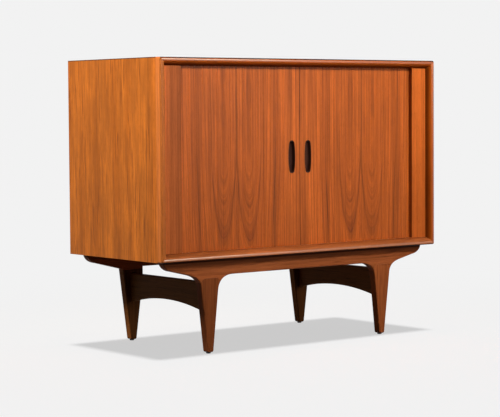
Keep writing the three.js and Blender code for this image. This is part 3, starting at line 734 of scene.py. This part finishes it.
def lip_section():
    """Pairs of distance in from the outer face and depth from the front, round the section."""
    slope = (LIP_BEND[0] - LIP_NOSE) / (LIP_BEND[1] - LIP_DROP)
    depth = LIP_BACK - CASE_FRONT
    points = [(0.0, depth), (0.0, LIP_ROUND)]
    points += curve(((0, LIP_ROUND), (0, 0), (LIP_ROUND, 0)), LIP_STEPS)
    points += curve(((LIP_ROUND, 0), (LIP_NOSE - LIP_DROP * slope, 0), (LIP_NOSE, LIP_DROP)), LIP_STEPS)
    points += curve(((LIP_NOSE, LIP_DROP), LIP_BEND, (LIP_WIDTH, LIP_BEVEL_DEPTH)), LIP_STEPS)
    return points + [(LIP_WIDTH, depth)]


def lip_end(inward, share):
    """Where a point of the section lies along the length and in from the outer face.

    share goes from zero before the corner to one at the mitre. Outermost points follow the corner's round.
    """
    straight = CORNER_ROUND - inward
    if straight <= 0:
        return LIP_END + (inward - LIP_END) * share, inward
    angle = math.pi / 4 * share
    return CORNER_ROUND - straight * math.sin(angle), CORNER_ROUND - straight * math.cos(angle)


def lipping(name, half_length, place):
    """One length of lipping. place turns a distance along, a distance in and a depth into a point."""
    section = lip_section()
    shares = spaced(0, 1, CORNER_STEPS)
    ends = [[(*lip_end(inward, share), depth) for inward, depth in section] for share in shares]
    rings = [[(-half_length + a + MITRE_GAP, b, c) for a, b, c in ring] for ring in reversed(ends)]
    rings += [[(half_length - a - MITRE_GAP, b, c) for a, b, c in ring] for ring in ends]
    strip = smooth(lofted(name, [[place(*point) for point in ring] for ring in rings]))
    store_vectors(strip, "section", [(a, b, 0.0) for a, b in section] * len(rings))
    return strip


def build_lipping():
    middle = (CASE_TOP + CASE_BOTTOM) / 2
    half_height = (CASE_TOP - CASE_BOTTOM) / 2
    lengths = {
        "top": (CASE_HALF, lambda a, b, c: (a, CASE_FRONT + c, CASE_TOP - b)),
        "bottom": (CASE_HALF, lambda a, b, c: (a, CASE_FRONT + c, CASE_BOTTOM + b)),
        "left": (half_height, lambda a, b, c: (b - CASE_HALF, CASE_FRONT + c, middle + a)),
        "right": (half_height, lambda a, b, c: (CASE_HALF - b, CASE_FRONT + c, middle + a)),
    }
    for name, (half_length, place) in lengths.items():
        strip = lipping(f"{name}_lipping", half_length, place)
        dress(strip, f"lip_{name}", "lipping_wood", ROOT, f"front_edge_{name}")


# Doors: slats glued to canvas, behind a meeting stile with a finger pull

SLAT_COUNT = 16
SLAT_GAP = 0.3 * MM
SLAT_GAP_SHARES = (0.5, 1.5)
SLAT_SEED = 11
SLAT_EASE = 0.45 * MM
SLAT_THICKNESS = 7 * MM
TONGUE_HEIGHT = 8 * MM
TONGUE_THICKNESS = 5 * MM
TONGUE_WIDTH = 14 * MM
SLAT_STEPS = 3
CANVAS_COLUMNS = 48
CANVAS_ROWS = 60


def slat_outline(inner, outer):
    """One slat in plan, with its front edges eased: across and depth."""
    front, back = DOOR_FRONT, DOOR_FRONT + SLAT_THICKNESS
    points = [(inner, back), (inner, front + SLAT_EASE)]
    points += curve(((inner, front + SLAT_EASE), (inner, front), (inner + SLAT_EASE, front)), SLAT_STEPS)
    points += [(outer - SLAT_EASE, front)]
    points += curve(((outer - SLAT_EASE, front), (outer, front), (outer, front + SLAT_EASE)), SLAT_STEPS)
    return points + [(outer, back)]


def gather(obj):
    """Gives the piece its own copy of its mesh."""
    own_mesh(obj)


def build_slats(name, side):
    lower, upper, _ = span(f"{name}_tambour")
    start = min(abs(lower.x), abs(upper.x))
    pitch = (upper.x - lower.x + SLAT_GAP) / SLAT_COUNT
    body_low, body_high = lower.z + TONGUE_HEIGHT, upper.z - TONGUE_HEIGHT
    tongue_front = DOOR_FRONT + (SLAT_THICKNESS - TONGUE_THICKNESS) / 2
    tongue_back = tongue_front + TONGUE_THICKNESS
    bm = bmesh.new()
    draw = random.Random(SLAT_SEED)
    for number in range(SLAT_COUNT):
        gap = SLAT_GAP * draw.uniform(*SLAT_GAP_SHARES)
        inner = start + number * pitch
        outer = inner + pitch - gap
        middle = (inner + outer) / 2
        near, far = middle - TONGUE_WIDTH / 2, middle + TONGUE_WIDTH / 2
        tongue = [(near, tongue_front), (far, tongue_front), (far, tongue_back), (near, tongue_back)]
        for outline, levels in (
            (slat_outline(inner, outer), (body_low, body_high)),
            (tongue, (lower.z, body_low)), (tongue, (body_high, upper.z)),
        ):
            loft(bm, [[(side * a, b, z) for a, b in outline] for z in levels])
    slats = smooth(to_object(f"{name}_slats", bm))
    # The places at rest, which the slats' material reads for their grain
    store_vectors(slats, "rest", [vertex.co for vertex in slats.data.vertices])
    apply_modifiers(slats)
    dress(slats, "slats", "door_wood", ROOT, f"{name}_tambour")
    gather(slats)


def build_canvas(name):
    """A cloth of two grids, joined round their rims."""
    lower, upper, _ = span(f"{name}_canvas")
    across = spaced(lower.x, upper.x, CANVAS_COLUMNS)
    levels = spaced(lower.z, upper.z, CANVAS_ROWS)
    bm = bmesh.new()
    front, back = (
        [[bm.verts.new((x, depth, z)) for x in across] for z in levels] for depth in (lower.y, upper.y)
    )
    for grid in (front, back):
        for below, above in zip(grid, grid[1:]):
            for i in range(CANVAS_COLUMNS):
                bm.faces.new((below[i], below[i + 1], above[i + 1], above[i]))
    rims = [list(zip(front[end], back[end])) for end in (0, -1)]
    rims += [[(near[end], far[end]) for near, far in zip(front, back)] for end in (0, -1)]
    for rim in rims:
        for first, second in zip(rim, rim[1:]):
            bm.faces.new((first[0], second[0], second[1], first[1]))
    canvas = to_object(f"{name}_canvas_cloth", bm)
    dress(canvas, "canvas", "canvas", ROOT, f"{name}_canvas")
    gather(canvas)


PULL_LENGTH = 90 * MM
PULL_WIDTH = 23.5 * MM
PULL_END = 18.5 * MM
PULL_STEPS = 16
# The pull's section in millimetres, as growth of its outline and depth: the rim, behind the door's front,
# then the edge and the hollow, behind the pull's own front
PULL_RIM = ((0.0, 0.1), (0.35, -0.05))
PULL_SECTION = (
    (0.3, 0.12), (0.0, 0.0), (-0.6, 0.0), (-1.0, 0.2), (-1.25, 0.8), (-1.6, 4), (-2.2, 7.5), (-3.4, 9.6),
    (-5.2, 10.6), (-6.6, 10.8),
)


def pull_outline(grow, x, z):
    """Outline of a finger pull round a centre, grown by a margin: two round ends and bulging sides."""
    radius = PULL_END / 2 + grow
    bulge = PULL_WIDTH - PULL_END / 2 + grow
    straight = (PULL_LENGTH - PULL_END) / 2
    bottom, top = z - straight, z + straight
    points = arc((x, bottom), radius, -math.pi, 0, PULL_STEPS)
    points += curve(((x + radius, bottom), (x + bulge, z), (x + radius, top)), PULL_STEPS)[:-1]
    points += arc((x, top), radius, 0, math.pi, PULL_STEPS)
    points += curve(((x - radius, top), (x - bulge, z), (x - radius, bottom)), PULL_STEPS)[:-1]
    return points


def build_pull(name):
    lower, upper, centre = span(f"{name}_finger_pull")
    rings = [(0.0, upper.y)] + [(grow * MM, DOOR_FRONT + depth * MM) for grow, depth in PULL_RIM]
    rings += [(grow * MM, lower.y + depth * MM) for grow, depth in PULL_SECTION]
    pull = lofted(f"{name}_pull", [
        [(x, depth, z) for x, z in pull_outline(grow, centre.x, centre.z)] for grow, depth in rings
    ])
    dress(smooth(pull, degrees=50), "pull", "pull_wood", f"{name}_door", f"{name}_finger_pull")


def build_doors():
    for name, side in SIDES:
        build_slats(name, side)
        build_canvas(name)
        build_pull(name)


# Base: two sled frames with winged rails, joined by arched stretchers

WING_TIP = CASE_HALF - 25.5 * MM
KNEE_OUTER = CASE_HALF - 150 * MM
KNEE_INNER = CASE_HALF - 207 * MM
KNEE_OUTER_DROP = 74 * MM
KNEE_INNER_DROP = 84 * MM
FILLET_WIDTH = 47 * MM
RAIL_HEIGHT = 44 * MM
REAR_LEG_OUTER = CASE_HALF - 144.5 * MM
REAR_LEG_OUTER_DROP = 48.5 * MM
REAR_LEG_INNER = CASE_HALF - 213 * MM
REAR_LEG_TAPER_DROP = 75 * MM
FOOT_OUTER = CASE_HALF - 170.5 * MM
FOOT_INNER = FOOT_OUTER - 19 * MM
FOOT_ROUND = 5 * MM
FRAME_ROUND = 3 * MM
FOOT_BOTTOM = low("front_left_leg").z

# The start, width and rise of a wing and of a fillet, and where in these shares their curves' controls lie
WING = ((WING_TIP, CASE_BOTTOM), WING_TIP - KNEE_OUTER, -KNEE_OUTER_DROP)
FILLET = ((KNEE_INNER, CASE_BOTTOM - KNEE_INNER_DROP), FILLET_WIDTH, KNEE_INNER_DROP - RAIL_HEIGHT)
WING_TIP_SHARES = ((0, 0), (0.01, 0.17), (0.1, 0.325), (0.26, 0.365))
WING_KNEE_SHARES = ((0.69, 0.534), (0.885, 0.615), (0.985, 0.757), (1, 1))
KNEE_FILLET_SHARES = ((0, 0), (0.04, 0.45), (0.255, 0.955), (1, 1))
CURVE_STEPS = 20
FOOT_STEPS = 5

LEG_LOOKS = {("front", "left"): "dark_leg", ("front", "right"): "leg"}

# The joint between a leg and its rail. A front one is flat in the middle and falls off to both edges.
JOINT_DROP = 51 * MM
JOINT_LINE = 0.3 * MM
JOINT_OUTER = CASE_HALF - 164 * MM
JOINT_INNER = CASE_HALF - 202 * MM
JOINT_FALL = 11 * MM
JOINT_OUTER_REACH = 17 * MM
JOINT_INNER_REACH = 11 * MM
JOINT_BEND_SHARE = 0.5
JOINT_STEPS = 8
ZONE_MARGIN = 60 * MM


def bow(start, width, rise, shares):
    """A curve towards the middle, with its start."""
    controls = [(start[0] - across * width, start[1] + up * rise) for across, up in shares]
    return controls[:1] + curve(controls, CURVE_STEPS)


def leg_sides(name):
    """Outer side of a leg down from the wing, and its inner side up to the rail.

    The front legs have round knees and the rear ones plain corners.
    """
    if name == "front":
        return bow(*WING, WING_KNEE_SHARES), bow(*FILLET, KNEE_FILLET_SHARES)
    inner = [(REAR_LEG_INNER, CASE_BOTTOM - drop) for drop in (REAR_LEG_TAPER_DROP, RAIL_HEIGHT)]
    return [(REAR_LEG_OUTER, CASE_BOTTOM - REAR_LEG_OUTER_DROP)], inner


def frame_outline(name):
    """Whole outline of a frame, counterclockwise."""
    outer, inner = leg_sides(name)
    toe = FOOT_BOTTOM + FOOT_ROUND
    half = [(WING_TIP, CASE_BOTTOM + 2 * FRAME_ROUND)] + bow(*WING, WING_TIP_SHARES) + outer
    half += arc((FOOT_OUTER - FOOT_ROUND, toe), FOOT_ROUND, 0, -QUARTER, FOOT_STEPS)
    half += arc((FOOT_INNER + FOOT_ROUND, toe), FOOT_ROUND, -QUARTER, -math.pi, FOOT_STEPS)
    half += inner
    return [(-x, z) for x, z in half] + half[::-1]


def joint_side(flat_end, reach, level):
    """Half of a front joint: from the end of its flat, down over a reach, and on past the leg's edge."""
    edge = (flat_end + reach, level - JOINT_FALL)
    bend = (flat_end + reach * JOINT_BEND_SHARE, level)
    beyond = (edge[0] + math.copysign(ZONE_MARGIN, reach), edge[1] - ZONE_MARGIN)
    return [(flat_end, level)] + curve(((flat_end, level), bend, edge), JOINT_STEPS) + [beyond]


def joint_line(name, level):
    """The joint of a right leg with its rail, from its outer end to its inner end."""
    if name == "rear":
        return [(REAR_LEG_OUTER + ZONE_MARGIN, level), (REAR_LEG_INNER - ZONE_MARGIN, level)]
    outer = joint_side(JOINT_OUTER, JOINT_OUTER_REACH, level)
    return outer[::-1] + joint_side(JOINT_INNER, -JOINT_INNER_REACH, level)


def leg_zone(name, side, depths, grow):
    """Everything below the joint of one leg, with a margin."""
    line = joint_line(name, CASE_BOTTOM - JOINT_DROP + grow)
    outline = [(line[-1][0], FOOT_BOTTOM - ZONE_MARGIN), (line[0][0], FOOT_BOTTOM - ZONE_MARGIN)] + line
    return lofted("zone", [[(side * x, depth, z) for x, z in outline] for depth in depths])


def build_frame(name):
    """One sled frame: a rail with its two legs."""
    lower, upper, _ = span(f"{name}_rail")
    whole = rounded_prism(
        "whole_frame", frame_outline(name), (lower.y, upper.y), FRAME_ROUND,
        lambda a, b, c: (a, c, b),
    )
    depths = (lower.y - ZONE_MARGIN, upper.y + ZONE_MARGIN)
    cut(whole, block("above", (-CASE_HALF, depths[0], RAIL_TOP), (CASE_HALF, depths[1], CASE_TOP)))
    rail = new_object(f"{name}_sled_rail", whole.data.copy())
    for leg_name, side in SIDES:
        leg = new_object(f"{name}_{leg_name}_tapered_leg", whole.data.copy())
        cut(leg, leg_zone(name, side, depths, -JOINT_LINE / 2), "INTERSECT")
        cut(rail, leg_zone(name, side, depths, JOINT_LINE / 2))
        look = LEG_LOOKS.get((name, leg_name), "rear_leg")
        dress(smooth(leg), look, "base_wood", ROOT, f"{name}_{leg_name}_leg")
    bpy.data.objects.remove(whole)
    dress(smooth(rail), "rail", "base_wood", ROOT, f"{name}_rail")


STRETCHER_ROUND = 2.5 * MM
STRETCHER_ARCH = 20 * MM
STRETCHER_GAP = 0.25 * MM
STRETCHER_STEPS = 40


def build_stretcher(name):
    lower, upper, _ = span(f"{name}_stretcher")
    front = high("front_rail").y + STRETCHER_GAP
    back = low("rear_rail").y - STRETCHER_GAP
    bend = ((front + back) / 2, lower.z + 2 * STRETCHER_ARCH)
    outline = [(front, upper.z), (front, lower.z)]
    outline += curve(((front, lower.z), bend, (back, lower.z)), STRETCHER_STEPS) + [(back, upper.z)]
    beam = rounded_prism(
        f"{name}_arched_stretcher", outline, (lower.x, upper.x), STRETCHER_ROUND,
        lambda a, b, c: (c, a, b),
    )
    dress(smooth(beam), "stretcher", "base_wood", ROOT, f"{name}_stretcher")


def build_base():
    for name in ENDS:
        build_frame(name)
    for name, _ in SIDES:
        build_stretcher(name)


# Small fittings

# A glide's profile: share of its radius and height in millimetres
GLIDE_PROFILE = ((0.62, 0.0), (0.82, 0.25), (0.95, 0.9), (1.0, 1.8), (1.0, 3.4), (0.96, 3.8))
PIN_EASE = 0.5 * MM
# A screw's head and slot in shares of the head's radius and height, and its tip's share of the shank's
HEAD_PROFILE = ((1.0, 0.0), (1.0, 0.35), (0.9, 0.7), (0.65, 0.92), (0.3, 1.0))
SLOT_HALF = 0.4 * MM
SLOT_REACH = 1.2
SLOT_LEVELS = (0.45, 1.5)
SHANK_TIP = 0.3
SCREW_SEED = 5
BACK_SCREW_SEAT = 0.25 * MM
BACK_SCREW_RADIUS = 1.5 * MM
RAIL_SCREW_HEAD = 3 * MM
RAIL_SCREW_RADIUS = 2 * MM


def build_glides():
    for node in [f"{end}_{name}_glide" for end in ENDS for name, _ in SIDES]:
        lower, upper, centre = span(node)
        radius = (upper.x - lower.x) / 2
        profile = [(radius * share, height * MM) for share, height in GLIDE_PROFILE]
        glide = smooth(turned(f"{node}_nail", profile, (centre.x, centre.y, 0.0), (0, 0, 1)))
        dress(glide, "glide", "glide", ROOT, node)


def build_pins():
    for node in [f"shelf_pin_{name}_{number}" for name, _ in SIDES for number in range(1, 5)]:
        lower, upper, centre = span(node)
        radius = (upper.z - lower.z) / 2
        length = upper.x - lower.x
        profile = [(radius - PIN_EASE, 0.0), (radius, PIN_EASE)]
        profile += [(radius, length - PIN_EASE), (radius - PIN_EASE, length)]
        pin = smooth(turned(f"{node}_turned", profile, (lower.x, centre.y, centre.z), (1, 0, 0), steps=24))
        dress(pin, "brass", "pin_brass", ROOT, node)


def build_screw(node, place, direction, head, shank, turn):
    """A slotted screw whose head stands at place and whose shank goes against direction.

    head is its radius and height, and shank its radius and length.
    """
    head_radius, head_height = head
    radius, length = shank
    profile = [(radius * SHANK_TIP, -length), (radius, -length + 2 * radius), (radius, 0.0)]
    profile += [(head_radius * share, head_height * up) for share, up in HEAD_PROFILE]
    screw = turned(f"{node}_slotted", profile, place, direction, steps=28)
    reach = head_radius * SLOT_REACH
    start, end = (head_height * share for share in SLOT_LEVELS)
    slot = block("slot", (-reach, -SLOT_HALF, start), (reach, SLOT_HALF, end))
    slot.data.transform(standing(place, direction) @ Matrix.Rotation(turn, 4, "Z"))
    cut(screw, slot)
    dress(smooth(screw), "steel", "screw_steel", ROOT, node)


def build_screws():
    draw = random.Random(SCREW_SEED)
    for node in [f"back_screw_{number}" for number in range(1, 7)]:
        lower, upper, centre = span(node)
        seat = high("back_panel").y + BACK_SCREW_SEAT
        head = ((upper.x - lower.x) / 2, upper.y - seat)
        shank = (BACK_SCREW_RADIUS, seat - lower.y)
        build_screw(node, (centre.x, seat, centre.z), (0, 1, 0), head, shank, draw.uniform(0, math.pi))
    for node in [f"{end}_rail_screw_{number}" for end in ENDS for number in range(1, 4)]:
        lower, upper, centre = span(node)
        seat = lower.z + RAIL_SCREW_HEAD
        head = ((upper.x - lower.x) / 2, RAIL_SCREW_HEAD)
        shank = (RAIL_SCREW_RADIUS, upper.z - seat)
        build_screw(node, (centre.x, centre.y, seat), (0, 0, -1), head, shank, draw.uniform(0, math.pi))


# Studio

BACKGROUND = srgb(242, 242, 242)
SKY_STRENGTH = 0.05

# The floor's paint, its own glow, its bounce for all other rays, and where it turns into the background
FLOOR_PAINT = 0.45
FLOOR_GLOW = 0.583
FLOOR_BOUNCE = 0.08
FLOOR_NEAR = 0.9
FLOOR_FAR = 2.2
FLOOR_RADIUS = 60.0
FLOOR_STEPS = 64

OVERHEAD_STRENGTH = 1.9
OVERHEAD_ANGLE = math.radians(10)
# Soft boxes: place, aim, power in watts, width and height, and spread in degrees
SOFT_BOXES = {
    "left": ((-1.9, -0.1, 1.95), (-0.3, 0.0, 0.55), 51, (0.6, 0.6), 180),
    "front": ((0.05, -3.0, 2.4), (0.05, -0.2, 1.0), 9.6, (1.7, 0.7), 44),
    "front_low": ((1.2, -2.6, 0.9), (0.0, -0.2, 0.5), 16, (1.0, 0.4), 180),
    "back": ((1.5, 2.2, 2.9), (0.0, 0.0, 0.5), 100, (1.6, 1.6), 180),
}


def build_camera():
    data = bpy.data.cameras.new("camera")
    camera = new_object("camera", data)
    yaw, pitch, roll = (math.radians(turn) for turn in CAMERA_TURNS)
    forward = Vector((math.sin(yaw) * math.cos(pitch), math.cos(yaw) * math.cos(pitch), math.sin(pitch)))
    level = Vector((math.cos(yaw), -math.sin(yaw), 0))
    upward = level.cross(forward)
    right = math.cos(roll) * level + math.sin(roll) * upward
    top = -math.sin(roll) * level + math.cos(roll) * upward
    turn = Matrix((right, top, -forward)).transposed().to_4x4()
    camera.matrix_world = Matrix.Translation(CAMERA_PLACE) @ turn
    data.sensor_width = SENSOR_WIDTH
    data.lens = FOCAL_PIXELS / PICTURE_WIDTH * SENSOR_WIDTH
    scene.camera = camera


def build_world():
    world = bpy.data.worlds.new("studio")
    scene.world = world
    graph = Graph(world)
    plain = graph.add("Background", {"Color": BACKGROUND})
    soft = graph.add("Background", {"Color": srgb(255, 255, 255), "Strength": SKY_STRENGTH})
    either = graph.add("MixShader", (graph.seen(), soft, plain))
    graph.add("OutputWorld", {"Surface": either})


def build_floor():
    """A wide floor with the background's colour, which keeps the shadow and bounces little light back."""
    bm = bmesh.new()
    last = math.tau * (1 - 1 / FLOOR_STEPS)
    rim = arc((0, 0), FLOOR_RADIUS, 0, last, FLOOR_STEPS - 1)
    bm.faces.new([bm.verts.new((*point, 0.0)) for point in rim])
    floor = to_object("floor", bm)
    material, graph = new_material("floor_paint")
    lit = graph.add("BsdfDiffuse", {"Color": (FLOOR_PAINT,) * 3})
    dull = graph.add("BsdfDiffuse", {"Color": (FLOOR_BOUNCE,) * 3})
    glow = graph.add("Emission", {"Color": (FLOOR_GLOW,) * 3})
    far = graph.add("Emission", {"Color": BACKGROUND})
    near = graph.add("AddShader", (lit, glow))
    length = graph.add("VectorMath", (graph.place(),), operation="LENGTH").outputs["Value"]
    spread = graph.add("MixShader", (graph.remap(length, FLOOR_NEAR, FLOOR_FAR), near, far))
    either = graph.add("MixShader", (graph.seen(), dull, spread))
    graph.add("OutputMaterial", {"Surface": either})
    paint(floor, material)
    return floor


def add_lamp(name, kind, place, target, energy, **settings):
    data = bpy.data.lights.new(name, kind)
    data.energy = energy
    for key, value in settings.items():
        setattr(data, key, value)
    lamp = new_object(name, data)
    lamp.location = place
    lamp.rotation_euler = (Vector(target) - Vector(place)).to_track_quat("-Z", "Y").to_euler()
    return lamp


def linked(name, state, *objects):
    """A collection for what a lamp lights or what blocks it: only the objects, or all but them."""
    collection = bpy.data.collections.new(name)
    for obj in objects:
        collection.objects.link(obj)
    for each in collection.collection_objects:
        each.light_linking.link_state = state
    return collection


def build_lights(floor):
    """An overhead light that casts the shadow on the floor, and soft boxes that light the object."""
    overhead = add_lamp("overhead", "SUN", (0, 0, 3), (0, 0, 0), OVERHEAD_STRENGTH, angle=OVERHEAD_ANGLE)
    linking = overhead.light_linking
    linking.receiver_collection = linked("lit_from_overhead", "INCLUDE", floor)
    linking.blocker_collection = linked("shades_from_overhead", "INCLUDE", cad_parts["case_bottom"])
    all_but_floor = linked("lit_by_boxes", "EXCLUDE", floor)
    for name, (place, aim, power, (width, height), spread) in SOFT_BOXES.items():
        lamp = add_lamp(name, "AREA", place, aim, power, shape="RECTANGLE", size=width, size_y=height)
        lamp.data.spread = math.radians(spread)
        lamp.light_linking.receiver_collection = all_but_floor


scene.view_settings.view_transform = "Standard"
build_camera()
build_world()
build_lights(build_floor())
dress_boards()
build_lipping()
build_doors()
build_base()
build_glides()
build_pins()
build_screws()
